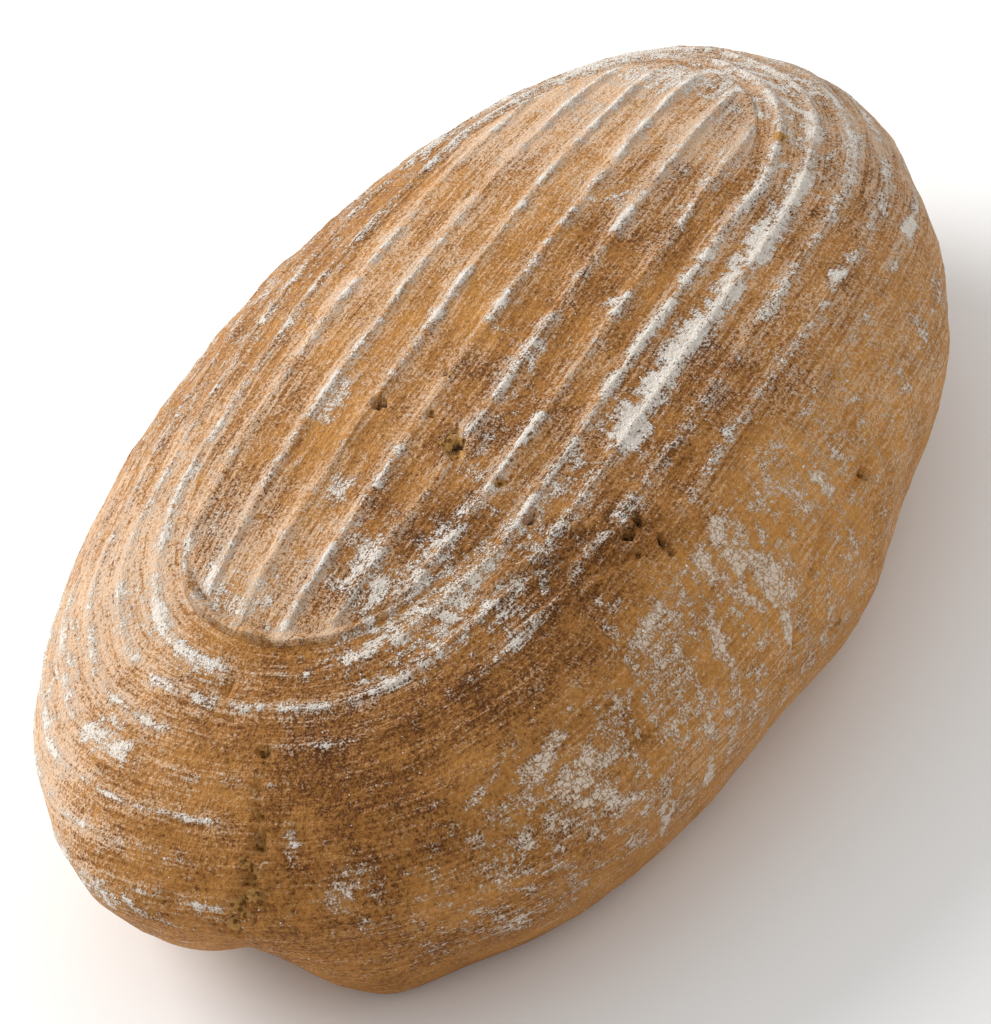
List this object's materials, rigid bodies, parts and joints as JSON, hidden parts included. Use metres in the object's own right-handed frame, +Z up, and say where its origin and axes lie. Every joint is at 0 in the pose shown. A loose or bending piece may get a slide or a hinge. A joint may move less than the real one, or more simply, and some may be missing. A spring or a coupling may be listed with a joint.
{
  "type": "rye bread loaf",
  "caption": "Uncut long oval rye bread loaf with raised cane-basket ridges over its top and walls and a flat underside.",
  "frame": {"origin": "middle of the loaf's length and width, on the plane that its flat underside rests on", "axes": "+X along the loaf towards its tapered far end, +Y towards the steeper left side, +Z up"},
  "size_m": [0.303, 0.1684, 0.0792],
  "materials": {
    "rye_crust": null
  },
  "bodies": {
    "root": {"loaf": "rye_crust"}
  },
  "joints": []
}
